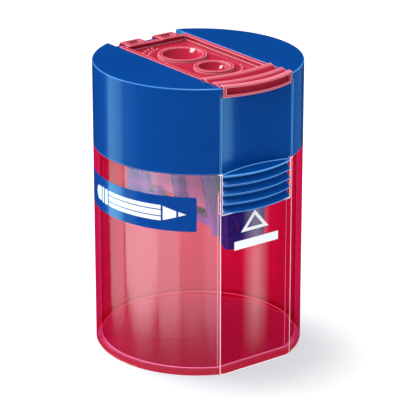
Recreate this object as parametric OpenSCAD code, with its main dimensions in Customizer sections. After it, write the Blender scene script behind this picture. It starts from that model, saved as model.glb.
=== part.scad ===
// Tub pencil sharpener with two ports: a transparent tub, a push-on head with a hinged lid, a press
// tongue that lets the head go, and a metal sharpener block in a cage under the lid.
// +Z is up, the origin is the centre of the base, and the flat press face looks along -Y.

/* [Body] */
// Outer radius of the tub and the head
body_r = 22.5; // [22.3:0.1:22.7]
// Half angle of the arc that the flat press face cuts off
flat_angle = 24.7; // [24.5:0.1:25]
// Height of the joint between tub and head
joint_z = 45.3; // [45.2:0.1:45.6]
// Height of the head above the joint
head_h = 18.6; // [18.5:0.1:18.7]

/* [Tub] */
// Wall thickness of the tub
tub_wall = 1.3; // [1.2:0.1:1.4]
// Thickness of the tub floor
floor_t = 1.4; // [1.2:0.1:2]
// Height of the neck that enters the head
neck_h = 4.7; // [3:0.1:5]
// Bottom of the notch in the press face
notch_z = 36.3; // [36:0.1:36.35]

/* [Head] */
// Wall thickness of the head
head_wall = 1.2; // [1.1:0.1:1.3]
// Thickness of the deck that the ports go through
deck_t = 1.6; // [1.4:0.1:1.6]
// Half width of the channel that the lid lies in
channel_half_w = 9.05; // [9:0.05:9.1]

/* [Press tongue] */
// Radius of the hollow scoop in the tongue's upper panel
scoop_r = 26.3; // [26:0.1:26.6]
// Distance from the body's axis to the axis of the scoop
scoop_axis = 45; // [44.9:0.1:45.1]
// Half width of the upper panel
panel_half_w = 9.3; // [9.2:0.05:9.3]
// Half width of the grip ribs
pad_half_w = 8.8; // [8.6:0.1:8.8]
// Number of grip ribs
rib_count = 5; // [5]
// Distance from one grip rib to the next
rib_pitch = 2.03; // [2:0.01:2.05]
// Depth of the valleys between the grip ribs
rib_depth = 1.2; // [1:0.1:1.3]

/* [Lid] */
// Half width of the lid
lid_half_w = 8.9; // [8.8:0.05:8.9]
// Thickness of the lid's floor
lid_t = 1; // [0.9:0.1:1]
// Height of the lid's rims above its floor
rim_h = 1; // [0.8:0.1:1.1]
// Height of the finger ridges above the head
ridge_rise = 0.45; // [0.3:0.05:0.6]

/* [Sharpener] */
// Diameter of the standard pencil port in the metal block
standard_d = 8.4; // [8.3:0.1:8.5]
// Diameter of the jumbo pencil port in the metal block
jumbo_d = 10.4; // [10.3:0.1:10.5]
// Distance between the axes of the two ports
port_spacing = 11.2; // [11.2:0.1:11.4]
// Half angle of the sharpening cones
cone_angle = 12; // [11.5:0.5:12]
// Radius of the hole that the lead's tip leaves through
tip_r = 0.6; // [0.5:0.1:0.7]

/* [Hidden] */

$fn = 96;
cut = 0.5;
big = 60;

// Gap between faces that move past each other
gap = 0.15;

flat_y = body_r * cos(flat_angle);
cap_z = joint_z + head_h;
neck_r = body_r - head_wall - 0.2;
neck_wall = 1.2;
shoulder_t = 1.3;
base_round = 0.6;

lid_top_z = cap_z;
lid_floor_z = lid_top_z - rim_h;
lid_under_z = lid_floor_z - lid_t;
deck_z = lid_under_z - 0.2;
deck_under_z = deck_z - deck_t;

jumbo_y = port_spacing / 2;
standard_y = -port_spacing / 2;
jumbo_r = jumbo_d / 2;
standard_r = standard_d / 2;
port_gap = 0.4;
plug_gap = 0.5;
plug_depth = 1.6;
ring_rise = 0.5;
dish_depth = 2.3;
dish_margin = 0.75;

rim_w = 1;
tray_front_y = 13.2;
lip_w = 1.1;
cove_r = 0.8;
cove_wall = 0.6;
// Radius and middle of each finger ridge's arc
rear_ridge = [36.6, 14.1];
front_ridge = [27.2, 18.3];

hinge_y = 17.8;
hinge_z = deck_z + 0.5;
pip_r = 0.75;
pip_gap = 0.05;
ear_r = 1.35;
knuckle_half = 1.8;
knuckle_r = 2.15;
knuckle_inner_x = 1.9;
knuckle_outer_x = 6.8;
hinge_gap = 0.15;
knuckle_root_y = 15.3;
hinge_block_t = 3;
window_half_x = 1.6;
window_y = 16.2;
window_w = 2.4;
window_t = 0.5;

skirt_gap = 0.05;
panel_t = 1.3;
panel_top_z = deck_z + 0.05;
pad_top_z = joint_z - 0.3;
pad_back_y = 17.4;
pad_bottom_z = notch_z + gap;
leg_front_y = 17;
leg_t = 1.3;
leg_rear_y = 13.7;
leg_top_half_w = 5.6;
leg_bottom_half_w = 4.8;
leg_bottom_z = 26.4;
leg_round = 2.4;
mark_t = 0.6;
mark_rise = 0.4;

block_top_z = deck_under_z - 0.2;
block_bottom_z = 32.8;
block_front_y = 10.9;
block_back_y = 12.4;
block_half_x = 6.7;
block_flank = 6.6;
taper = tan(cone_angle);
jumbo_seat_z = 55;
standard_seat_z = jumbo_seat_z - (jumbo_r - standard_r) / taper;
bite = 0.25;
blade_t = 0.5;
blade_w = 5.2;
blade_foot_z = 34;

cage_flank = 8;
cage_half_x = 8.4;
cage_wall = 1.2;
cage_front_y = 12;
cage_back_y = 13.7;
cage_bottom_z = 29.8;
rim_top_z = 31.6;
flange_back_y = 15.2;
flange_half_x = 8.2;
flange_top_z = deck_under_z - 1.8;
front_window = [-10.2, -2.4];
rear_window = [1.3, 11.4];
cage_front_leg_z = 28;
cross_bar = 0.8;
snap_y = 7.9;
snap_r = 1.5;
snap_root_x = 4.2;

screw_z = 37;
screw_depth = 2.2;
screw_head_r = 2;
screw_head_h = 1.1;
screw_shank_r = 1;

// Everything in front of the plane that lies the given distance before the axis
module front_of(y) {
    translate([-big, -big - y, -big]) cube([2 * big, big, 3 * big]);
}

// A bar centred on the YZ plane, between the given y and z
module bar(half_x, y0, y1, z0, z1) {
    translate([-half_x, y0, z0]) cube([2 * half_x, y1 - y0, z1 - z0]);
}

// A ring of the given radii between two heights
module ring(outer, inner, z0, z1) {
    translate([0, 0, z0]) difference() {
        cylinder(r = outer, h = z1 - z0);
        translate([0, 0, -cut]) cylinder(r = inner, h = z1 - z0 + 2 * cut);
    }
}

// Tub: D-shaped cup with a shoulder, a neck, and a notch for the press tongue
module tub() {
    inner_r = body_r - tub_wall;
    shoulder_z = joint_z - shoulder_t;
    neck_inner_r = neck_r - neck_wall;
    color([0.80, 0.06, 0.18, 0.6]) difference() {
        union() {
            difference() {
                rotate_extrude() union() {
                    square([body_r - base_round, joint_z]);
                    translate([0, base_round]) square([body_r, joint_z - base_round]);
                    translate([body_r - base_round, base_round]) circle(r = base_round, $fn = 48);
                }
                front_of(flat_y);
            }
            translate([0, 0, joint_z]) cylinder(r = neck_r, h = neck_h);
        }
        difference() {
            union() {
                translate([0, 0, floor_t]) cylinder(r = inner_r, h = shoulder_z - floor_t - shoulder_t);
                translate([0, 0, shoulder_z - shoulder_t])
                    cylinder(r1 = inner_r, r2 = neck_inner_r, h = shoulder_t);
                translate([0, 0, shoulder_z - cut])
                    cylinder(r = neck_inner_r, h = shoulder_t + neck_h + 2 * cut);
            }
            front_of(flat_y - tub_wall);
        }
        bar(pad_half_w + gap, -body_r - cut, -leg_rear_y, notch_z, joint_z + cut);
        bar(panel_half_w + 0.2, -body_r - cut, -leg_rear_y, joint_z, joint_z + neck_h + cut);
    }
}

// Pocket in the deck that one knuckle of the lid turns in
module knuckle_pocket(side) {
    mid = side * (knuckle_inner_x + knuckle_outer_x) / 2;
    half = (knuckle_outer_x - knuckle_inner_x) / 2 + hinge_gap;
    translate([mid - half, hinge_y, hinge_z]) rotate([0, 90, 0])
        cylinder(r = knuckle_r + 0.2, h = 2 * half);
}

// Ear of the hinge between two x positions, without its pin hole
module ear(x0, x1) {
    translate([x0, hinge_y, hinge_z]) rotate([0, 90, 0]) cylinder(r = ear_r, h = x1 - x0);
    translate([x0, hinge_y - ear_r, deck_z - cut]) cube([x1 - x0, 2 * ear_r, hinge_z - deck_z + cut]);
}

// Head shell: round cap with the lid's channel, the port deck and the hinge ears
module head_shell() {
    inner_r = body_r - head_wall;
    wall_x = channel_half_w + head_wall;
    hinge_block_z = deck_z - hinge_block_t;
    outer_ear_x = knuckle_outer_x + hinge_gap;
    centre_ear_x = knuckle_inner_x - hinge_gap;
    color([0.02, 0.25, 0.55]) difference() {
        union() {
            difference() {
                union() {
                    ring(body_r, inner_r, joint_z + skirt_gap, cap_z);
                    translate([0, 0, cap_z - head_wall]) cylinder(r = body_r, h = head_wall);
                    intersection() {
                        translate([0, 0, hinge_block_z]) cylinder(r = body_r - 0.1, h = cap_z - hinge_block_z);
                        union() {
                            bar(wall_x, -body_r, body_r, deck_under_z, cap_z);
                            bar(wall_x, knuckle_root_y, body_r, hinge_block_z, deck_z);
                        }
                    }
                }
                bar(channel_half_w, -big, big, deck_z, cap_z + cut);
                for (side = [-1, 1]) knuckle_pocket(side);
            }
            ear(-centre_ear_x, centre_ear_x);
            ear(outer_ear_x, channel_half_w + cut);
            ear(-channel_half_w - cut, -outer_ear_x);
        }
        translate([-channel_half_w, hinge_y, hinge_z]) rotate([0, 90, 0])
            cylinder(r = pip_r + pip_gap, h = 2 * channel_half_w);
        translate([0, jumbo_y, deck_under_z - cut])
            cylinder(r = jumbo_r + port_gap, h = deck_t + 2 * cut);
        translate([0, standard_y, deck_under_z - cut])
            cylinder(r = standard_r + port_gap, h = deck_t + 2 * cut);
        translate([0, -scoop_axis, 0]) intersection() {
            cylinder(r = scoop_r + panel_t + 2 * gap, h = big * 2);
            bar(panel_half_w + gap, 0, scoop_axis, 0, deck_z + cut);
        }
    }
}

// Side outline of one grip rib with its edge at z: a long slope above it, undercut below
function rib_outline(z) = [
    [body_r - rib_depth - cut, z],
    [body_r - rib_depth, z + 1.5],
    [body_r - rib_depth, z + 1.4],
    [body_r - 0.05, z + 0.15],
    [body_r, z],
    [body_r - 0.15, z - 0.15],
    [body_r - rib_depth, z - 0.35]
];

// Grip ribs: a saw-toothed solid of revolution, cut to the pad's width
module grip_ribs() {
    valley_r = body_r - rib_depth;
    intersection() {
        rotate_extrude() {
            square([valley_r, pad_top_z]);
            for (i = [0 : rib_count - 1]) {
                edge_z = pad_top_z - 0.15 - i * rib_pitch;
                if (i == 0)
                    translate([valley_r - cut, edge_z - 0.2]) square([rib_depth + cut, 0.35]);
                else
                    polygon(rib_outline(edge_z));
            }
        }
        bar(pad_half_w, -body_r, -pad_back_y, pad_bottom_z, pad_top_z);
    }
}

// Side wall of the leg, with its lower rear corner rounded
module leg_side(top_z) {
    rotate([90, 0, 90]) linear_extrude(2 * leg_top_half_w, center = true) difference() {
        translate([-leg_front_y, leg_bottom_z])
            square([leg_front_y - leg_rear_y, top_z - leg_bottom_z]);
        difference() {
            translate([-leg_rear_y - leg_round, leg_bottom_z - cut])
                square([leg_round + cut, leg_round + cut]);
            translate([-leg_rear_y - leg_round, leg_bottom_z + leg_round])
                circle(r = leg_round, $fn = 48);
        }
    }
}

// Front outline of the leg, narrower towards its foot, with the given inset
module leg_front(inset) {
    rotate([90, 0, 0]) linear_extrude(big, center = true) polygon([
        [-leg_bottom_half_w + inset, leg_bottom_z - cut],
        [leg_bottom_half_w - inset, leg_bottom_z - cut],
        [leg_top_half_w - inset, joint_z],
        [-leg_top_half_w + inset, joint_z]
    ]);
}

// Bent rib that stands on the front of the leg
module leg_mark() {
    translate([0, mark_t - mark_rise - leg_front_y, 0]) rotate([90, 0, 0])
        linear_extrude(mark_t) polygon([
            [-3.8, 34], [-3.1, 34], [-1.5, 31], [-3.2, 29.4], [-3.9, 29.4], [-2.2, 31]
        ]);
}

// Press tongue: scooped panel, grip ribs and a channel-shaped leg inside the tub
module press_tongue() {
    leg_top_z = pad_top_z - 1;
    color([0.02, 0.25, 0.55]) union() {
        intersection() {
            translate([0, -scoop_axis, 0])
                ring(scoop_r + panel_t, scoop_r, pad_top_z - cut, panel_top_z);
            union() {
                bar(panel_half_w, -body_r, 0, joint_z + skirt_gap, panel_top_z);
                bar(pad_half_w, -body_r, 0, pad_top_z - cut, joint_z + 2 * skirt_gap);
            }
        }
        grip_ribs();
        intersection() {
            leg_side(leg_top_z);
            difference() {
                leg_front(0);
                intersection() {
                    leg_front(leg_t);
                    bar(big, -leg_front_y + leg_t, 0, 0, big);
                }
            }
        }
        bar(leg_top_half_w - 0.3, -pad_back_y - cut, -leg_front_y + leg_t, pad_bottom_z + 0.5, leg_top_z);
        leg_mark();
    }
}

// Outline of the lid in plan, up to its round front edge
module lid_plan(half_w, front_r, back_y, z0, z1) {
    intersection() {
        translate([0, 0, z0]) cylinder(r = front_r, h = z1 - z0);
        bar(half_w, -body_r, back_y, z0, z1);
    }
}

// Finger ridge: an arc across the lid, steep at its rear and sloping to the front
module finger_ridge(arc_r, middle_y) {
    top = lid_top_z + ridge_rise;
    intersection() {
        translate([0, arc_r - middle_y, 0]) rotate_extrude() polygon([
            [arc_r, lid_floor_z - 0.3],
            [arc_r, top - 0.15],
            [arc_r + 0.25, top],
            [arc_r + 0.7, top],
            [arc_r + 3.2, lid_top_z - 0.5],
            [arc_r + 3.2, lid_floor_z - 0.3]
        ]);
        lid_plan(lid_half_w, body_r - 0.3, 0, lid_under_z, top + cut);
    }
}

// Closed plug of one port, a dish seen from above, with the ring round its mouth
module plug(y, port_r) {
    outer = port_r + port_gap - plug_gap;
    foot_z = lid_under_z - plug_depth;
    translate([0, y, foot_z]) cylinder(r = outer, h = lid_floor_z - foot_z);
    translate([0, y, lid_floor_z - cut]) cylinder(r = outer + 0.1, h = cut + ring_rise);
}

// Bowl of one plug's dish, the part of a sphere below the ring's top
module dish(y, port_r) {
    mouth_r = port_r - dish_margin;
    bowl_r = (mouth_r * mouth_r + dish_depth * dish_depth) / (2 * dish_depth);
    translate([0, y, lid_floor_z + ring_rise - dish_depth + bowl_r]) sphere(r = bowl_r);
}

// Knuckle of the lid with a sunk window in its top and a pip at each end
module knuckle(side) {
    length = knuckle_outer_x - knuckle_inner_x;
    mid = side * (knuckle_inner_x + knuckle_outer_x) / 2;
    difference() {
        union() {
            intersection() {
                translate([mid - length / 2, hinge_y, hinge_z]) rotate([0, 90, 0])
                    cylinder(r = knuckle_r, h = length);
                translate([mid - length / 2, hinge_y - knuckle_half, hinge_z - knuckle_half])
                    cube([length, 2 * knuckle_half, 2 * knuckle_half]);
            }
            translate([mid - length / 2, knuckle_root_y, lid_under_z])
                cube([length, hinge_y - knuckle_root_y, hinge_z + knuckle_half - lid_under_z]);
        }
        translate([mid - window_half_x, window_y, hinge_z + knuckle_half - window_t])
            cube([2 * window_half_x, window_w, 1]);
    }
    translate([mid - length / 2 - 1, hinge_y, hinge_z]) rotate([0, 90, 0])
        cylinder(r = pip_r, h = length + 2);
}

// Lid: tray across the top with plugs, finger ridges, a coved lip and two knuckles
module lid() {
    rear_y = hinge_y - ear_r - hinge_gap;
    top = lid_top_z + ridge_rise;
    color([0.80, 0.12, 0.25, 0.9]) difference() {
        union() {
            difference() {
                lid_plan(lid_half_w, body_r, rear_y, lid_under_z, lid_top_z);
                bar(lid_half_w - rim_w, -tray_front_y, rear_y - rim_w, lid_floor_z, lid_top_z + cut);
                difference() {
                    bar(big, -body_r - cut, -tray_front_y, lid_floor_z + 0.6, lid_top_z + cut);
                    bar(big, -tray_front_y - 0.2, 0, lid_floor_z, lid_top_z + cut);
                }
            }
            plug(jumbo_y, jumbo_r);
            plug(standard_y, standard_r);
            finger_ridge(rear_ridge[0], rear_ridge[1]);
            finger_ridge(front_ridge[0], front_ridge[1]);
            intersection() {
                ring(body_r, body_r - lip_w, lid_under_z, top);
                bar(lid_half_w, -body_r, -tray_front_y, lid_under_z, top);
            }
            for (side = [-1, 1]) knuckle(side);
        }
        dish(jumbo_y, jumbo_r);
        dish(standard_y, standard_r);
        intersection() {
            rotate_extrude() translate([body_r + 0.15, (lid_under_z + top) / 2])
                circle(r = cove_r, $fn = 48);
            bar(lid_half_w - cove_wall, -body_r - 1, -tray_front_y, lid_under_z, top);
        }
    }
}

// Outline of the cage seen along Y, tapering to its foot, with the given inset
module cage_prism(inset, y0, y1, z0, z1) {
    knee_z = joint_z - 0.3 + (cage_half_x - cage_flank) / taper;
    half_at_foot = cage_flank + taper * (z0 - joint_z + 0.3) - inset;
    translate([0, y1, 0]) rotate([90, 0, 0]) linear_extrude(y1 - y0) polygon([
        [-half_at_foot, z0],
        [half_at_foot, z0],
        [cage_half_x - inset, knee_z],
        [cage_half_x - inset, z1],
        [-cage_half_x + inset, z1],
        [-cage_half_x + inset, knee_z]
    ]);
}

// Cage walls before their windows are cut, open at the top and the bottom
module cage_walls() {
    difference() {
        cage_prism(0, -cage_front_y, cage_back_y, cage_bottom_z, deck_under_z);
        cage_prism(cage_wall, -block_front_y - skirt_gap, block_back_y + skirt_gap,
            cage_bottom_z - cut, deck_under_z + cut);
    }
}

// Sharpener holder: open-bottomed cage with windows, a rear flange and a front leg
module sharpener_holder() {
    color([0.15, 0.25, 0.62]) union() {
        difference() {
            cage_walls();
            bar(big, front_window[0], front_window[1], rim_top_z, flange_top_z);
            bar(big, rear_window[0], rear_window[1], rim_top_z, flange_top_z);
        }
        intersection() {
            cage_prism(0, -cage_front_y, cage_back_y, cage_bottom_z, deck_under_z);
            union() {
                bar(big, -block_front_y - cut, -block_front_y + cross_bar, rim_top_z, block_bottom_z);
                bar(big, block_back_y - cross_bar, block_back_y + cut, rim_top_z, block_bottom_z);
            }
        }
        bar(flange_half_x, cage_back_y - 0.1, flange_back_y, cage_bottom_z, flange_top_z);
        bar(leg_top_half_w - 0.8, -cage_front_y, -block_front_y - 0.1,
            cage_front_leg_z, cage_bottom_z + 1);
        intersection() {
            cage_walls();
            translate([-big, snap_y, rim_top_z + 0.3]) rotate([0, 90, 0])
                cylinder(r = snap_r, h = big - snap_root_x);
        }
    }
}

// Pencil hole: guide bore, sharpening cone and tip hole
module pencil_hole(y, r, seat_z) {
    cone_h = (r - tip_r) / taper;
    translate([0, y, seat_z]) cylinder(r = r, h = block_top_z - seat_z + cut);
    translate([0, y, seat_z - cone_h]) cylinder(r1 = tip_r, r2 = r, h = cone_h);
    translate([0, y, block_bottom_z - cut])
        cylinder(r = tip_r, h = seat_z - cone_h - block_bottom_z + 2 * cut);
}

// Places its children on the blade's seat: X along the outward normal, Z up the slope
module on_seat(z) {
    translate([jumbo_r - bite - taper * (jumbo_seat_z - z), 0, z]) rotate([0, cone_angle, 0])
        children();
}

// Cut that makes one blade seat
module blade_seat(y0, y1, seat_z) {
    intersection() {
        on_seat(blade_foot_z) translate([0, -big, -big]) cube([big, 2 * big, 2 * big]);
        bar(big, y0, y1, 0, seat_z);
    }
}

// Metal block with two pencil holes, two blade seats and their screw holes
module sharpener_block() {
    split_y = (jumbo_y - jumbo_r + standard_y + standard_r) / 2;
    color([0.78, 0.78, 0.80]) difference() {
        intersection() {
            bar(block_half_x, -block_front_y, block_back_y, block_bottom_z, block_top_z);
            rotate([90, 0, 0]) linear_extrude(big, center = true) polygon([
                [-block_flank - taper * (block_bottom_z - joint_z), block_bottom_z],
                [big, block_bottom_z],
                [big, block_top_z],
                [-block_flank - taper * (block_top_z - joint_z), block_top_z]
            ]);
        }
        pencil_hole(jumbo_y, jumbo_r, jumbo_seat_z);
        pencil_hole(standard_y, standard_r, standard_seat_z);
        blade_seat(split_y, big, jumbo_seat_z);
        blade_seat(-big, split_y, standard_seat_z);
        for (edge_y = [jumbo_y, standard_y]) on_seat(blade_foot_z) blade_screw_axis(edge_y)
            translate([0, 0, -screw_depth - 0.2])
                cylinder(r = screw_shank_r + 0.05, h = screw_depth + 0.2 + cut);
    }
}

// Blade lying on its seat, with a ground cutting edge at the given y
module blade(edge_y, seat_z) {
    length = (seat_z - 0.3 - blade_foot_z) / cos(cone_angle);
    on_seat(blade_foot_z) difference() {
        translate([0, edge_y - blade_w, 0]) cube([blade_t, blade_w, length]);
        translate([blade_t * 0.2, edge_y, -cut]) rotate([0, 0, 50]) translate([0, -1, 0])
            cube([2, 2, length + 2 * cut]);
        blade_screw_axis(edge_y) cylinder(r = screw_shank_r + 0.2, h = 4, center = true);
    }
}

// Places its children on the screw's axis, with Z out of the blade, inside on_seat
module blade_screw_axis(edge_y) {
    translate([0, edge_y - blade_w / 2, (screw_z - blade_foot_z) / cos(cone_angle)]) rotate([0, 90, 0])
        children();
}

// Cheese-head screw through a blade, with a driver slot
module blade_screw(edge_y) {
    on_seat(blade_foot_z) blade_screw_axis(edge_y) {
        translate([0, 0, blade_t]) difference() {
            cylinder(r = screw_head_r, h = screw_head_h);
            translate([-0.3, -screw_head_r - cut, screw_head_h - 0.5])
                cube([0.6, 2 * (screw_head_r + cut), 1]);
        }
        translate([0, 0, -screw_depth]) cylinder(r = screw_shank_r, h = screw_depth + blade_t + 0.01);
    }
}

module blade_jumbo() {
    color([0.72, 0.73, 0.75]) blade(jumbo_y, jumbo_seat_z);
}

module blade_standard() {
    color([0.72, 0.73, 0.75]) blade(standard_y, standard_seat_z);
}

module screw_jumbo() {
    color([0.80, 0.76, 0.66]) blade_screw(jumbo_y);
}

module screw_standard() {
    color([0.80, 0.76, 0.66]) blade_screw(standard_y);
}

tub();
head_shell();
press_tongue();
lid();
sharpener_holder();
sharpener_block();
blade_jumbo();
blade_standard();
screw_jumbo();
screw_standard();
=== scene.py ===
import math

import bpy
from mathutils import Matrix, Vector


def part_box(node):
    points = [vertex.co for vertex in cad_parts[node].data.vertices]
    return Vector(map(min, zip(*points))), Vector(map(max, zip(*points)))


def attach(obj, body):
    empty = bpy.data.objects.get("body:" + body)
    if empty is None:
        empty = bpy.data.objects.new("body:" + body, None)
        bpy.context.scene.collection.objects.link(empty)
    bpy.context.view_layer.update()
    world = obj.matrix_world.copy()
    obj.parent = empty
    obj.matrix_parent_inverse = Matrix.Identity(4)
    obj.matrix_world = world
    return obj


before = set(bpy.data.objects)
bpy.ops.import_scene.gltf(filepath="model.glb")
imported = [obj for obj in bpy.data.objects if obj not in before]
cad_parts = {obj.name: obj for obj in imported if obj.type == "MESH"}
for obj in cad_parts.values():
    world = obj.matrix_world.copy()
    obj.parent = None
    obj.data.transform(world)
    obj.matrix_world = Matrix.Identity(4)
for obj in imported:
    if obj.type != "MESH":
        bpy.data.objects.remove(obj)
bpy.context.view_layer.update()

MM = 0.001
WHITE = (1, 1, 1)


# ---------------------------------------------------------------- measures

# Boxes of the CAD nodes, and places on them in the frame's own coordinates
tub_low, tub_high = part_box("tub")
head_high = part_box("head_shell")[1]
lid_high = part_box("lid")[1]
middle = Vector((0, 0, head_high.z / 2))

FLAT_Y = tub_low.y
SHOULDER_LOW = 40 * MM
FOOT_TOP = 2.1 * MM
FOOT_FADE = 0.5 * MM
INSIDE_WALL = 0.5 * MM
LEG_FRONT = -17.6 * MM
LEG_TOP = 43 * MM
LID_FLOOR = lid_high.z - 1.45 * MM


# ---------------------------------------------------------------- nodes

# The range that nearly all of a noise texture's values lie in
NOISE_LOW, NOISE_HIGH = 0.3, 0.7
# A Mix node's colour sockets share their names with its other sockets, so they go by number.
MIX_SHARE, MIX_FIRST, MIX_SECOND, MIX_RESULT = 0, 6, 7, 2
MASK_SAMPLES = 8
RELIEF_DEPTH = 0.02 * MM


def feed(tree, node, inputs):
    """Gives each input of a node its value, or a link from another node's output."""
    for socket, value in inputs.items():
        if isinstance(value, bpy.types.NodeSocket):
            tree.links.new(value, node.inputs[socket])
        else:
            node.inputs[socket].default_value = value
    return node


def add_node(tree, kind, inputs=None):
    """A new node with its inputs fed."""
    return feed(tree, tree.nodes.new(kind), inputs or {})


def calculate(tree, operation, *values):
    """The result of a maths node."""
    step = tree.nodes.new("ShaderNodeMath")
    step.operation = operation
    return feed(tree, step, dict(enumerate(values))).outputs["Value"]


def map_range(tree, value, from_low, from_high, to_low=0.0, to_high=1.0):
    """value carried from one range to another in a straight run, and held at both ends."""
    mapped = add_node(tree, "ShaderNodeMapRange", {
        "Value": value,
        "From Min": from_low,
        "From Max": from_high,
        "To Min": to_low,
        "To Max": to_high,
    })
    return mapped.outputs["Result"]


def mix_colours(tree, share, first, second):
    """The first colour with a share of the second over it."""
    mix = tree.nodes.new("ShaderNodeMix")
    mix.data_type = "RGBA"
    feed(tree, mix, {MIX_SHARE: share, MIX_FIRST: first, MIX_SECOND: (*second, 1)})
    return mix.outputs[MIX_RESULT]


def mix_shaders(tree, share, first, second):
    """The first shader with a share of the second over it."""
    return add_node(tree, "ShaderNodeMixShader", {"Fac": share, 1: first, 2: second}).outputs["Shader"]


def colour_ramp(tree, value, low, low_colour, high, high_colour):
    """One colour up to low, another from high on, and a blend between them."""
    ramp = add_node(tree, "ShaderNodeValToRGB", {"Fac": value})
    stops = ((low, low_colour), (high, high_colour))
    for element, (position, colour) in zip(ramp.color_ramp.elements, stops):
        element.position = position
        element.color = (*colour, 1)
    return ramp.outputs["Color"]


def object_axes(tree):
    """The outputs X, Y and Z of the shaded point, in the object's own coordinates."""
    place = add_node(tree, "ShaderNodeTexCoord")
    return add_node(tree, "ShaderNodeSeparateXYZ", {"Vector": place.outputs["Object"]}).outputs


def noise(tree, scale, detail, roughness=0.5, stretch=(1, 1, 1)):
    """A noise texture in the object's own coordinates; scale is in cells per metre."""
    place = add_node(tree, "ShaderNodeTexCoord")
    mapping = add_node(tree, "ShaderNodeMapping", {"Vector": place.outputs["Object"], "Scale": stretch})
    texture = add_node(tree, "ShaderNodeTexNoise", {
        "Vector": mapping.outputs["Vector"],
        "Scale": scale,
        "Detail": detail,
        "Roughness": roughness,
    })
    return texture.outputs["Fac"]


def spread(tree, value, low, high):
    """A noise value, which runs around a half, mapped to the range from low to high."""
    return map_range(tree, value, NOISE_LOW, NOISE_HIGH, low, high)


def two_tones(tree, value, dark, light):
    """A noise value turned into two close tones of one colour."""
    return colour_ramp(tree, value, NOISE_LOW, dark, NOISE_HIGH, light)


def slant(tree):
    """Zero where a face is seen straight on, and one where it is seen edge on."""
    return add_node(tree, "ShaderNodeLayerWeight", {"Blend": 0.5}).outputs["Facing"]


def edge_lines(tree, radius, smooth, sharp):
    """One along the sharp edges of a piece and nothing on its smooth faces; it places painted highlight
    lines.

    smooth and sharp are the cosines between which a bend in the surface turns into an edge."""
    rounded = add_node(tree, "ShaderNodeBevel", {"Radius": radius})
    rounded.samples = MASK_SAMPLES
    plain = add_node(tree, "ShaderNodeNewGeometry")
    agreement = tree.nodes.new("ShaderNodeVectorMath")
    agreement.operation = "DOT_PRODUCT"
    feed(tree, agreement, {0: rounded.outputs["Normal"], 1: plain.outputs["Normal"]})
    return map_range(tree, agreement.outputs["Value"], smooth, sharp)


def relief(tree, shader, value, strength):
    """A fine relief on a shader from a texture value."""
    bump = add_node(tree, "ShaderNodeBump", {
        "Height": value,
        "Distance": RELIEF_DEPTH,
        "Strength": strength,
    })
    feed(tree, shader, {"Normal": bump.outputs["Normal"]})


def new_material(name):
    """A new material, with its node tree and its Principled shader."""
    material = bpy.data.materials.new(name)
    material.use_nodes = True
    return material, material.node_tree, material.node_tree.nodes["Principled BSDF"]


# ---------------------------------------------------------------- opaque plastics

# Ranges of roughness
SATIN = (0.16, 0.20)
DULL = (0.22, 0.30)


def moulded_plastic(name, dark, light, rough=DULL, specular=0.5, toning=None):
    """Opaque moulded plastic: two close tones, an even satin gloss and a fine grain.

    toning is a function that lays further colours over the two tones."""
    material, tree, shader = new_material(name)
    tone = two_tones(tree, noise(tree, scale=60, detail=4), dark, light)
    if toning:
        tone = toning(tree, tone)
    relief(tree, shader, noise(tree, scale=3500, detail=2), strength=0.05)
    feed(tree, shader, {
        "Base Color": tone,
        "Roughness": spread(tree, noise(tree, scale=350, detail=3), *rough),
        "IOR": 1.48,
        "Specular IOR Level": specular,
    })
    return material


# Colours of the painted shade in the lid's hollows and of the painted highlights on its edges and crests
LID_PAINTED_SHADE = (0.26, 0.006, 0.022)
LID_PAINTED_HIGHLIGHT = (0.85, 0.260, 0.330)
# How far off a wall the painted shade in a hollow still reaches, and the open shares between which the
# tone turns to it
HOLLOW_REACH = 2.5 * MM
HOLLOW_OPEN, HOLLOW_SHUT = 0.95, 0.45
# Width of the painted highlight lines along the edges, and the cosines of the bends that start and
# complete them
LID_LINE = 0.40 * MM
LID_BENDS = (0.996, 0.978)
# Heights between which the ridge crests turn to the painted highlight, and its greatest share
CREST_LOW = lid_high.z - 0.34 * MM
CREST_HIGH = lid_high.z - 0.06 * MM
CREST_HIGHLIGHT_SHARE = 0.6


def lid_painted_light(tree, tone):
    """Painted shade, a deeper red, in the lid's grooves and bowls, and painted highlights, a paler red, on
    its edges and ridge crests.
    """
    openness = add_node(tree, "ShaderNodeAmbientOcclusion", {"Distance": HOLLOW_REACH})
    openness.samples = MASK_SAMPLES
    hollow_shade = map_range(tree, openness.outputs["AO"], HOLLOW_OPEN, HOLLOW_SHUT)
    tone = mix_colours(tree, hollow_shade, tone, LID_PAINTED_SHADE)
    edge_highlights = edge_lines(tree, LID_LINE, *LID_BENDS)
    crest_highlights = map_range(tree, object_axes(tree)["Z"], CREST_LOW, CREST_HIGH, 0.0, CREST_HIGHLIGHT_SHARE)
    return mix_colours(tree, calculate(tree, "MAXIMUM", edge_highlights, crest_highlights), tone, LID_PAINTED_HIGHLIGHT)


def lit_leg_plastic():
    """The tongue's blue made lighter for its leg, with a painted glow, so that the leg shows as lit
    through the red wall.
    """
    material = moulded_plastic("leg_blue_lit", (0.02, 0.20, 0.80), (0.02, 0.23, 0.86))
    shader = material.node_tree.nodes["Principled BSDF"]
    shader.inputs["Emission Color"].default_value = (0.02, 0.25, 0.9, 1)
    shader.inputs["Emission Strength"].default_value = 0.15
    return material


# ---------------------------------------------------------------- see-through plastic

# Slants between which the wall's tint turns, and how far a noise sways them
SLANT_LOW, SLANT_HIGH = 0.60, 0.72
SLANT_WAVE = 0.04
# Tint of the shadow and diffuse rays that pass through
PASSING = (0.97, 0.95, 0.96)
# Painted highlight lines in a milky colour along the edges: their colour, share and width, and the bends
# that start and complete them
MILK = (1.0, 0.74, 0.75)
MILK_SHARE = 0.80
TUB_LINE = 0.28 * MM
TUB_BENDS = (0.998, 0.988)
SHOULDER_FADE = 1.5 * MM
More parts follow.
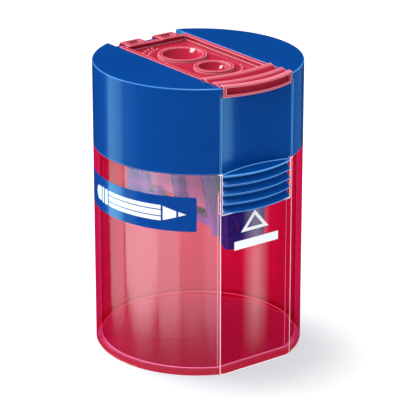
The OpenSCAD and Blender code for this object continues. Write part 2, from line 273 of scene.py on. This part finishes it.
# Depths behind the flat face that the effects on it start from and fade out at
FLAT_SKIN = 0.1 * MM
LINE_DEPTH = 0.3 * MM
SHEEN_DEPTH = 0.2 * MM
# The painted sheen: half widths that it fades between, and the height from which it is full
SHEEN_EDGE = 3.6 * MM
SHEEN_CORE = 0.4 * MM
SHEEN_TOP = 14 * MM
# The gloss: roughness, mirror share face on and edge on, and how it rises between them
TUB_ROUGH = (0.10, 0.11)
GLOSS_LEAST, GLOSS_MOST = 0.04, 0.30
SCHLICK_POWER = 5.0


def wall_tint(tree, axes, face_on, edge_on, foot):
    """The tint of a see-through wall: it turns at a slant, and again at the foot if that has a tint."""
    wave = spread(tree, noise(tree, scale=40, detail=2), -SLANT_WAVE, SLANT_WAVE)
    turned = calculate(tree, "ADD", slant(tree), wave)
    tint = colour_ramp(tree, turned, SLANT_LOW, face_on, SLANT_HIGH, edge_on)
    if foot:
        tint = mix_colours(tree, map_range(tree, axes["Z"], FOOT_TOP, FOOT_TOP - FOOT_FADE), tint, foot)
    return tint


def near_flat(tree, axes, depth, most=1.0):
    """most on the flat face, and nothing from a given depth behind it."""
    return map_range(tree, axes["Y"], FLAT_Y + depth, FLAT_Y + FLAT_SKIN, 0.0, most)


def painted_edge_highlights(tree, axes):
    """Painted highlight lines in a milky colour along the edges of the wall and of the flat face, but not
    on the neck in the head.
    """
    wall = map_range(tree, axes["Z"], SHOULDER_LOW + SHOULDER_FADE, SHOULDER_LOW, 0.0, MILK_SHARE)
    zone = calculate(tree, "MAXIMUM", wall, near_flat(tree, axes, LINE_DEPTH, MILK_SHARE))
    return calculate(tree, "MULTIPLY", zone, edge_lines(tree, TUB_LINE, *TUB_BENDS))


def painted_flat_sheen(tree, axes, most):
    """A painted sheen: a soft upright milky band down the middle of the flat face, weaker towards the
    foot.
    """
    across = calculate(tree, "ABSOLUTE", axes["X"])
    band = map_range(tree, across, SHEEN_EDGE, SHEEN_CORE, 0.0, most)
    rising = map_range(tree, axes["Z"], FOOT_TOP, SHEEN_TOP)
    on_face = calculate(tree, "MULTIPLY", near_flat(tree, axes, SHEEN_DEPTH), rising)
    return calculate(tree, "MULTIPLY", band, on_face)


def gloss_share(tree):
    """Schlick's mirror share of a plastic wall, the same from inside and outside, and capped."""
    steep = calculate(tree, "POWER", slant(tree), SCHLICK_POWER)
    return map_range(tree, steep, 0.0, 1.0, GLOSS_LEAST, GLOSS_MOST)


def tub_plastic(name, face_on, edge_on, foot=None, sheen=0.0):
    """Tinted see-through plastic under a gloss, with painted highlight lines in a milky colour along its
    edges.

    face_on and edge_on are its tints straight on and at a slant, foot its tint at the thick bottom.
    sheen is the share of the painted sheen, a milky band down the flat face. Shadow and diffuse rays pass
    through with hardly any tint, so that the inside stays lit."""
    material, tree, shader = new_material(name)
    axes = object_axes(tree)
    rough = spread(tree, noise(tree, scale=120, detail=3), *TUB_ROUGH)
    feed(tree, shader, {"Base Color": (*MILK, 1), "Roughness": rough, "Specular IOR Level": 0.0})
    tint = wall_tint(tree, axes, face_on, edge_on, foot)
    clear = add_node(tree, "ShaderNodeBsdfTransparent", {"Color": tint})
    highlight_share = painted_edge_highlights(tree, axes)
    if sheen:
        highlight_share = calculate(tree, "MAXIMUM", highlight_share, painted_flat_sheen(tree, axes, sheen))
    with_highlights = mix_shaders(tree, highlight_share, clear.outputs["BSDF"], shader.outputs["BSDF"])
    gloss = add_node(tree, "ShaderNodeBsdfGlossy", {"Roughness": rough})
    coated = mix_shaders(tree, gloss_share(tree), with_highlights, gloss.outputs["BSDF"])
    open_wall = add_node(tree, "ShaderNodeBsdfTransparent", {"Color": (*PASSING, 1)})
    path = add_node(tree, "ShaderNodeLightPath")
    passing = calculate(tree, "MAXIMUM", path.outputs["Is Shadow Ray"], path.outputs["Is Diffuse Ray"])
    surface = mix_shaders(tree, passing, coated, open_wall.outputs["BSDF"])
    feed(tree, tree.nodes["Material Output"], {"Surface": surface})
    return material


# ---------------------------------------------------------------- metal

def metal(name, dark, light, rough, grain=(1, 1, 1), metallic=1.0):
    """Metal with a fine grain; grain scales the texture along each axis to give it a direction."""
    material, tree, shader = new_material(name)
    streaks = noise(tree, scale=900, detail=4, roughness=0.6, stretch=grain)
    relief(tree, shader, streaks, strength=0.1)
    feed(tree, shader, {
        "Base Color": two_tones(tree, streaks, dark, light),
        "Roughness": spread(tree, streaks, *rough),
        "Metallic": metallic,
    })
    return material


# ---------------------------------------------------------------- CAD nodes

WELD_REACH = 0.002 * MM
# Faces that meet at less than this angle are joined before the edges are rounded.
FLAT_ANGLE = math.radians(0.3)
BEVEL_SEGMENTS = 2


def dress(node, material, edge=None, bevel=0.12 * MM, sharp=35):
    """Gives a CAD node its material and small rounded edges, which can have a material of their own, a
    lighter one that paints a highlight along them.

    Without a bevel the piece keeps its edges sharp. sharp is the least angle of an edge, in degrees."""
    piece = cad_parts[node]
    piece.data.materials.clear()
    piece.data.materials.append(material)
    weld = piece.modifiers.new("weld", "WELD")
    weld.merge_threshold = WELD_REACH
    if bevel:
        flatten = piece.modifiers.new("flatten", "DECIMATE")
        flatten.decimate_type = "DISSOLVE"
        flatten.angle_limit = FLAT_ANGLE
        flatten.delimit = {"MATERIAL"}
        rounding = piece.modifiers.new("rounding", "BEVEL")
        rounding.width = bevel
        rounding.segments = BEVEL_SEGMENTS
        rounding.limit_method = "ANGLE"
        rounding.angle_limit = math.radians(sharp)
        rounding.use_clamp_overlap = False
        if edge:
            piece.data.materials.append(edge)
            rounding.material = 1
    else:
        creases = piece.modifiers.new("creases", "EDGE_SPLIT")
        creases.split_angle = math.radians(sharp)
    piece.modifiers.new("normals", "WEIGHTED_NORMAL")
    piece.data.shade_smooth()
    return piece


# Least upright share of the normal of a face that counts as level
LEVEL = 0.9


def line_tub(tub, inner, bottom):
    """Puts lighter tinted copies of the tub's plastic on its inner walls, slot 1, and on its floor, slot
    2: painted light, so that the floor seen through the tub stays bright.
    """
    tub.data.materials.append(inner)
    tub.data.materials.append(bottom)
    for face in tub.data.polygons:
        place = face.center
        if place.z < FOOT_TOP and abs(face.normal.z) > LEVEL:
            face.material_index = 2
        elif place.xy.length < tub_high.x - INSIDE_WALL and place.y > FLAT_Y + INSIDE_WALL:
            face.material_index = 1


def colour_leg(tongue, material):
    """Puts the lighter, glowing copy of the tongue's blue on its leg, slot 2: painted light."""
    tongue.data.materials.append(material)
    for face in tongue.data.polygons:
        if face.center.y > LEG_FRONT and face.center.z < LEG_TOP:
            face.material_index = 2


# ---------------------------------------------------------------- view and surroundings

VIEW_AZIMUTH = math.radians(-36.74)
VIEW_ELEVATION = math.radians(20.31)
VIEW_DISTANCE = 0.5
AIM_RIGHT = 0.40 * MM
AIM_DOWN = 0.26 * MM
LENS = 207.7
SENSOR = 36
FLOOR_HALF = 4.0


def direction(azimuth, elevation):
    """Unit vector from the object towards a viewer; azimuth 0 is in front, at -Y."""
    level = math.cos(elevation)
    return Vector((math.sin(azimuth) * level, -math.cos(azimuth) * level, math.sin(elevation)))


def make_camera():
    """The camera at the photograph's angle, aimed a little right of and below the middle."""
    towards = direction(VIEW_AZIMUTH, VIEW_ELEVATION)
    right = Vector((0, 0, 1)).cross(towards).normalized()
    up = towards.cross(right)
    aim = middle + right * AIM_RIGHT - up * AIM_DOWN
    data = bpy.data.cameras.new("view")
    data.lens = LENS
    data.sensor_width = SENSOR
    data.clip_start = 0.01
    camera = bpy.data.objects.new("view", data)
    camera.location = aim + towards * VIEW_DISTANCE
    camera.rotation_euler = towards.to_track_quat("Z", "Y").to_euler()
    bpy.context.scene.collection.objects.link(camera)
    bpy.context.scene.camera = camera


def make_world(seen, lit, mirrored):
    """Pale surroundings for the eye, a little softer for what they light and dark in reflections."""
    world = bpy.data.worlds.new("studio")
    bpy.context.scene.world = world
    world.use_nodes = True
    tree = world.node_tree
    tree.nodes.clear()
    to_eye, to_matt, to_gloss = (
        add_node(tree, "ShaderNodeBackground", {"Strength": level}).outputs["Background"]
        for level in (seen, lit, mirrored)
    )
    path = add_node(tree, "ShaderNodeLightPath")
    unmirrored = mix_shaders(tree, path.outputs["Is Diffuse Ray"], to_eye, to_matt)
    surroundings = mix_shaders(tree, path.outputs["Is Glossy Ray"], unmirrored, to_gloss)
    add_node(tree, "ShaderNodeOutputWorld", {"Surface": surroundings})


def make_floor(level):
    """A plain white floor that the object stands on."""
    mesh = bpy.data.meshes.new("floor")
    corners = [(-1, -1), (1, -1), (1, 1), (-1, 1)]
    mesh.from_pydata([(x * FLOOR_HALF, y * FLOOR_HALF, level) for x, y in corners], [], [(0, 1, 2, 3)])
    floor = bpy.data.objects.new("floor", mesh)
    bpy.context.scene.collection.objects.link(floor)
    material, tree, shader = new_material("floor")
    shader.inputs["Base Color"].default_value = (0.93, 0.93, 0.93, 1)
    shader.inputs["Roughness"].default_value = 0.6
    shader.inputs["Specular IOR Level"].default_value = 0.0
    shader.inputs["Emission Color"].default_value = (*WHITE, 1)
    shader.inputs["Emission Strength"].default_value = 0.17
    mesh.materials.append(material)
    floor.visible_glossy = False
    floor.visible_shadow = False
    return floor


# ---------------------------------------------------------------- lights

STRIP_DISTANCE = 0.6
COOL = (0.28, 0.74, 0.88)
PALE = (0.72, 0.97, 0.96)


def area_light(name, towards, place, size, power, colour, receivers):
    """A rectangular light that faces back along towards and lights only the receivers."""
    data = bpy.data.lights.new(name, "AREA")
    data.shape = "RECTANGLE"
    data.size, data.size_y = size
    data.energy = power
    data.color = colour
    light = bpy.data.objects.new(name, data)
    light.location = place
    light.rotation_euler = towards.to_track_quat("Z", "Y").to_euler()
    light.visible_camera = False
    bpy.context.scene.collection.objects.link(light)
    group = bpy.data.collections.new(name + " receivers")
    for piece in receivers:
        group.objects.link(piece)
    light.light_linking.receiver_collection = group
    return light


def softbox(name, azimuth, elevation, distance, size, power, receivers, colour=WHITE):
    """A light aimed at the middle of the object; its azimuth is counted from the camera's."""
    towards = direction(VIEW_AZIMUTH + math.radians(azimuth), math.radians(elevation))
    return area_light(name, towards, middle + towards * distance, size, power, colour, receivers)


def strip(name, start, end, radiance, receivers, colour=WHITE, low=-38, high=20):
    """An upright light between two azimuths counted from the camera's, as seen from the object.

    low and high are the elevations of its ends. All angles are in degrees."""
    towards = direction(VIEW_AZIMUTH + math.radians((start + end) / 2), 0)
    width = 2 * STRIP_DISTANCE * math.tan(math.radians(abs(end - start) / 2))
    bottom = STRIP_DISTANCE * math.tan(math.radians(low))
    top = STRIP_DISTANCE * math.tan(math.radians(high))
    place = middle + towards * STRIP_DISTANCE + Vector((0, 0, (bottom + top) / 2))
    power = radiance * math.pi * width * (top - bottom)
    return area_light(name, towards, place, (width, top - bottom), power, colour, receivers)


# ---------------------------------------------------------------- thin pieces

BAND_STEPS = 96
PATCH_STEPS = 24
STUD_TAPER = 0.6


def add_mesh(name, vertices, faces, material, body):
    """A new visible piece that rides on a body."""
    mesh = bpy.data.meshes.new(name)
    mesh.from_pydata(vertices, [], faces)
    mesh.materials.append(material)
    piece = bpy.data.objects.new(name, mesh)
    bpy.context.scene.collection.objects.link(piece)
    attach(piece, body)
    return piece


def thicken(vertices, faces, outward, thickness):
    """A sheet of quads made into a closed shell: outward gives each vertex's direction."""
    count = len(vertices)
    top = [v + outward(v) * thickness for v in vertices]
    solid = list(faces) + [tuple(i + count for i in reversed(face)) for face in faces]
    border = {}
    for face in faces:
        for a, b in zip(face, face[1:] + face[:1]):
            if (b, a) in border:
                del border[(b, a)]
            else:
                border[(a, b)] = True
    solid += [(b, a, a + count, b + count) for a, b in border]
    return list(vertices) + top, solid


def from_axis(point):
    """The level direction from the tub's axis to a point."""
    return Vector((point.x, point.y, 0)).normalized()


def to_front(point):
    """The direction the flat face looks in, whatever the point."""
    return Vector((0, -1, 0))


def wrapped_print(name, patches, radius, material, thickness):
    """A print on the round wall; each patch is a list of slices: azimuth, low z and high z."""
    vertices, faces = [], []
    for patch in patches:
        start = len(vertices)
        for azimuth, low, high in patch:
            for z in (low, high):
                vertices.append(Vector((math.sin(azimuth) * radius, -math.cos(azimuth) * radius, z)))
        for i in range(len(patch) - 1):
            a = start + 2 * i
            faces.append((a, a + 1, a + 3, a + 2))
    return add_mesh(name, *thicken(vertices, faces, from_axis, thickness), material, "tub")


def flat_print(name, loop, y, material, thickness):
    """A print on the flat face; loop is a closed ring of outer and inner points, in X and Z."""
    vertices, faces = [], []
    for outer, inner in loop:
        vertices += [Vector((outer[0], y, outer[1])), Vector((inner[0], y, inner[1]))]
    for i in range(len(loop)):
        a, b = 2 * i, 2 * ((i + 1) % len(loop))
        faces.append((a, a + 1, b + 1, b))
    return add_mesh(name, *thicken(vertices, faces, to_front, thickness), material, "tub")


def rounded_band(start, end, low, high, corner, radius):
    """Slices of a band with rounded corners, from one azimuth to another."""
    length = abs(end - start) * radius
    slices = []
    for i in range(BAND_STEPS + 1):
        at = length * i / BAND_STEPS
        inset = 0.0
        edge = min(at, length - at)
        if edge < corner:
            inset = corner - math.sqrt(max(corner**2 - (corner - edge) ** 2, 0))
        slices.append((start + (end - start) * i / BAND_STEPS, low + inset, high - inset))
    return slices


def pencil_patches(start, end, centre, half, radius):
    """A plain pencil drawn round the wall: eraser, sleeve, a barrel of three facets, wood and lead.

    Its parts are measured along the pencil from the eraser, in half widths."""
    length = (end - start) * radius
    eraser_end, sleeve_end, barrel = 1.5 * half, 2.2 * half, 3.4 * half
    wood = length - 3.2 * half
    lead = length - 1.1 * half
    gap = 0.13 * half
    eraser_round, eraser_half = 0.8 * half, 0.92 * half
    thinnest = 0.02
    facet = 0.42

    def patch(begin, finish, low, high):
        slices = []
        for i in range(PATCH_STEPS + 1):
            at = begin + (finish - begin) * i / PATCH_STEPS
            slices.append((start + at / radius, centre + low(at), centre + high(at)))
        return slices

    def mirrored(begin, finish, reach):
        return patch(begin, finish, lambda at: -reach(at), reach)

    def eraser(at):
        return eraser_half * math.sqrt(max(1 - max(0, 1 - at / eraser_round) ** 2, thinnest))

    def full(at):
        return half

    def cone(at):
        return max(half * (length - at) / (length - wood), thinnest * half)

    patches = [
        mirrored(0, eraser_end, eraser),
        mirrored(eraser_end + 2 * gap, sleeve_end, full),
        mirrored(sleeve_end + 2 * gap, barrel - 2 * gap, full),
    ]
    for low, high in ((-1, -facet), (-facet, facet), (facet, 1)):
        bottom = low * half + (gap / 2 if low > -1 else 0)
        top = high * half - (gap / 2 if high < 1 else 0)
        patches.append(patch(barrel, wood, lambda at: bottom, lambda at: top))
    patches.append(mirrored(wood + 2 * gap, lead - gap, cone))
    patches.append(mirrored(lead + gap, length, cone))
    return patches


def triangle_loop(left, right, low, high, stroke):
    """An outlined triangle, point up, as outer and inner corners."""
    outer = [Vector((left, low)), Vector((right, low)), Vector(((left + right) / 2, high))]
    side = [(outer[(i + 1) % 3] - outer[i]).length for i in range(3)]
    area = abs((outer[1] - outer[0]).cross(outer[2] - outer[0])) / 2
    inradius = 2 * area / sum(side)
    incentre = (outer[0] * side[1] + outer[1] * side[2] + outer[2] * side[0]) / sum(side)
    return [(tuple(p), tuple(incentre + (p - incentre) * (1 - stroke / inradius))) for p in outer]


def bar_loop(half, low, high):
    """A filled bar, as its corners and its centre."""
    centre = (0.0, (low + high) / 2)
    return [(corner, centre) for corner in ((-half, low), (half, low), (half, high), (-half, high))]


def stud_arc(centre_y, radius, start, end, step):
    """Places along an arc about a dish; the angles are in degrees from the front of the dish."""
    places = []
    angle = start
    while angle <= end:
        turn = math.radians(angle)
        places.append((radius * math.sin(turn), centre_y - radius * math.cos(turn)))
        angle += step
    return places


def studs(places, base, half, height):
    """Square studs that stand through a level face and narrow upwards, one at each place."""
    vertices, faces = [], []
    for x, y in places:
        first = len(vertices)
        for z, reach in ((base - height, half), (base + height, half * STUD_TAPER)):
            for side_x, side_y in ((-1, -1), (1, -1), (1, 1), (-1, 1)):
                vertices.append(Vector((x + side_x * reach, y + side_y * reach, z)))
        faces += [(first + 3, first + 2, first + 1, first), (first + 4, first + 5, first + 6, first + 7)]
        for i in range(4):
            j = (i + 1) % 4
            faces.append((first + i, first + j, first + j + 4, first + i + 4))
    return vertices, faces


# ---------------------------------------------------------------- the scene

make_camera()
make_world(seen=1.0, lit=0.85, mirrored=0.02)
floor = make_floor(tub_low.z)

# The outer wall carries a painted sheen down its flat face, and all three carry painted highlight lines
# along their edges
tub_outer = tub_plastic(
    "tub_outer", (0.82, 0.22, 0.41), (0.75, 0.08, 0.25), foot=(0.70, 0.05, 0.10), sheen=0.12,
)
# Lighter tints for the inner walls and floor: painted light on what is seen through the tub
tub_inner_lit = tub_plastic("tub_inner_lit", (0.82, 0.22, 0.41), (0.88, 0.30, 0.50))
tub_floor_lit = tub_plastic("tub_floor_lit", (0.95, 0.32, 0.52), (0.93, 0.22, 0.42))
head_blue = moulded_plastic("head_blue", (0.000, 0.048, 0.250), (0.000, 0.055, 0.272), SATIN, specular=0.2)
# Lighter blues for the rounded edges: painted highlights along them
head_edge_highlight = moulded_plastic("head_edge_highlight", (0.045, 0.220, 0.580), (0.055, 0.240, 0.610), SATIN)
rib_edge_highlight = moulded_plastic("rib_edge_highlight", (0.100, 0.330, 0.740), (0.120, 0.350, 0.780), SATIN)
# The lid's red carries painted shade in its hollows and painted highlights on its edges and ridge crests
lid_red = moulded_plastic(
    "lid_red", (0.41, 0.015, 0.042), (0.46, 0.019, 0.050), rough=(0.12, 0.16), toning=lid_painted_light,
)
holder_blue = moulded_plastic("holder_blue", (0.15, 0.19, 0.82), (0.18, 0.23, 0.90))
# A lighter blue for the holder's rounded edges: a painted highlight along them
holder_edge_highlight = moulded_plastic("holder_edge_highlight", (0.20, 0.32, 0.90), (0.22, 0.36, 0.95))
leg_blue_lit = lit_leg_plastic()
block_metal = metal(
    "block_metal", (0.70, 0.72, 0.74), (0.80, 0.82, 0.84), rough=(0.36, 0.48), grain=(1, 1, 0.3),
    metallic=0.35,
)
blade_steel = metal(
    "blade_steel", (0.66, 0.67, 0.70), (0.80, 0.81, 0.83), rough=(0.15, 0.25), grain=(1, 8, 0.5),
)
screw_steel = metal("screw_steel", (0.62, 0.58, 0.50), (0.74, 0.70, 0.62), rough=(0.22, 0.32))
print_blue = moulded_plastic("print_blue", (0.000, 0.050, 0.280), (0.000, 0.056, 0.300), (0.12, 0.20))
print_white = moulded_plastic("print_white", (0.86, 0.86, 0.88), (0.92, 0.92, 0.93), (0.20, 0.30))

tub = dress("tub", tub_outer, bevel=0, sharp=12)
line_tub(tub, tub_inner_lit, tub_floor_lit)
head = dress("head_shell", head_blue, head_edge_highlight, bevel=0.2 * MM)
tongue = dress("press_tongue", head_blue, rib_edge_highlight, bevel=0.16 * MM, sharp=30)
colour_leg(tongue, leg_blue_lit)
lid = dress("lid", lid_red, bevel=0, sharp=24)
holder = dress("sharpener_holder", holder_blue, holder_edge_highlight, bevel=0.15 * MM)
block = dress("sharpener_block", block_metal)
blades = [dress(name, blade_steel, bevel=0) for name in ("blade_jumbo", "blade_standard")]
screws = [dress(name, screw_steel) for name in ("screw_jumbo", "screw_standard")]

# The prints stand a hair off the wall, and the pencil lies on the label.
PRINT_LIFT = 0.02 * MM
PRINT_T = 0.04 * MM
LABEL_START, LABEL_END = math.radians(-120), math.radians(-37.4)
LABEL_LOW, LABEL_HIGH = 32.9 * MM, 40.5 * MM
LABEL_CORNER = 0.3 * MM
PENCIL_START, PENCIL_END = math.radians(-108), math.radians(-43)
PENCIL_HALF = 1.7 * MM
label_r = tub_high.x + PRINT_LIFT
pencil_r = label_r + PRINT_T
label_slices = rounded_band(LABEL_START, LABEL_END, LABEL_LOW, LABEL_HIGH, LABEL_CORNER, label_r)
pencil = pencil_patches(PENCIL_START, PENCIL_END, (LABEL_LOW + LABEL_HIGH) / 2, PENCIL_HALF, pencil_r)
triangle = triangle_loop(left=-4.1 * MM, right=3.2 * MM, low=31.4 * MM, high=35.7 * MM, stroke=0.7 * MM)
bar = bar_loop(half=5.8 * MM, low=27.7 * MM, high=29.6 * MM)
prints = [
    wrapped_print("label_band", [label_slices], label_r, print_blue, PRINT_T),
    wrapped_print("label_pencil", pencil, pencil_r, print_white, PRINT_T),
    flat_print("release_triangle", triangle, FLAT_Y - PRINT_LIFT, print_white, PRINT_T),
    flat_print("release_bar", bar, FLAT_Y - PRINT_LIFT, print_white, PRINT_T),
]

# The rows of studs lie about the two dishes: two about the larger one, and one about the smaller.
LARGE_DISH_Y = 5.6 * MM
SMALL_DISH_Y = -5.6 * MM
STUD_HALF = 0.26 * MM
STUD_HEIGHT = 0.16 * MM
stud_places = (
    stud_arc(LARGE_DISH_Y, 7.2 * MM, -168, -100, 10)
    + stud_arc(LARGE_DISH_Y, 8.5 * MM, -166, -128, 9)
    + stud_arc(SMALL_DISH_Y, 6.0 * MM, -10, 78, 12)
)
lid_dots = add_mesh("lid_dots", *studs(stud_places, LID_FLOOR, STUD_HALF, STUD_HEIGHT), lid_red, "lid")

# Upright strips, which show as reflections: azimuths, radiance, receivers and colour
outside = [head, tongue] + prints
on_lid = [lid, lid_dots]
TUB_STRIP_LOW = -24.5
strip("left strip", -114, -90, 5.6, outside, COOL)
strip("left fade", -90, -70, 1.2, outside, COOL)
strip("right strip", 97, 112, 4.5, outside, COOL)
strip("right fade", 126, 150, 0.4, outside, COOL)
strip("lid strip", -130, -40, 2.0, on_lid, low=0, high=40)
strip("tub left", -112, -88, 4.6, [tub], PALE, TUB_STRIP_LOW)
strip("tub bright", -86, -44, 9.0, [tub], PALE, TUB_STRIP_LOW)
strip("tub middle", -44, -20, 6.3, [tub], PALE, TUB_STRIP_LOW)
strip("tub front", -20, 7, 3.8, [tub], PALE, TUB_STRIP_LOW)
strip("tub corner", 7, 30, 4.8, [tub], PALE, TUB_STRIP_LOW)

# Softboxes: azimuth, elevation, distance, size, power and receivers
softbox("top", 0, 74, 0.6, (0.35, 0.25), 3.0, outside + [tub])
lid_back = softbox("lid back", 205, 25, 0.6, (0.4, 0.3), 4.5, on_lid)
lid_back.visible_glossy = False
lid_spot = softbox("lid spot", -80, 52, 0.6, (0.2, 0.2), 2.2, on_lid)
lid_spot.data.shape = "DISK"
softbox("key", -128, 76, 0.8, (0.3, 0.3), 4.0, [floor])
softbox("cage glow", -35, -5, 0.3, (0.3, 0.2), 2.0, [holder], (0.9, 0.7, 1.0))
softbox("metal glow", -25, -5, 0.3, (0.3, 0.2), 4.0, [block] + blades + screws, (0.45, 1.0, 0.9))

bpy.context.scene.view_settings.view_transform = "Standard"
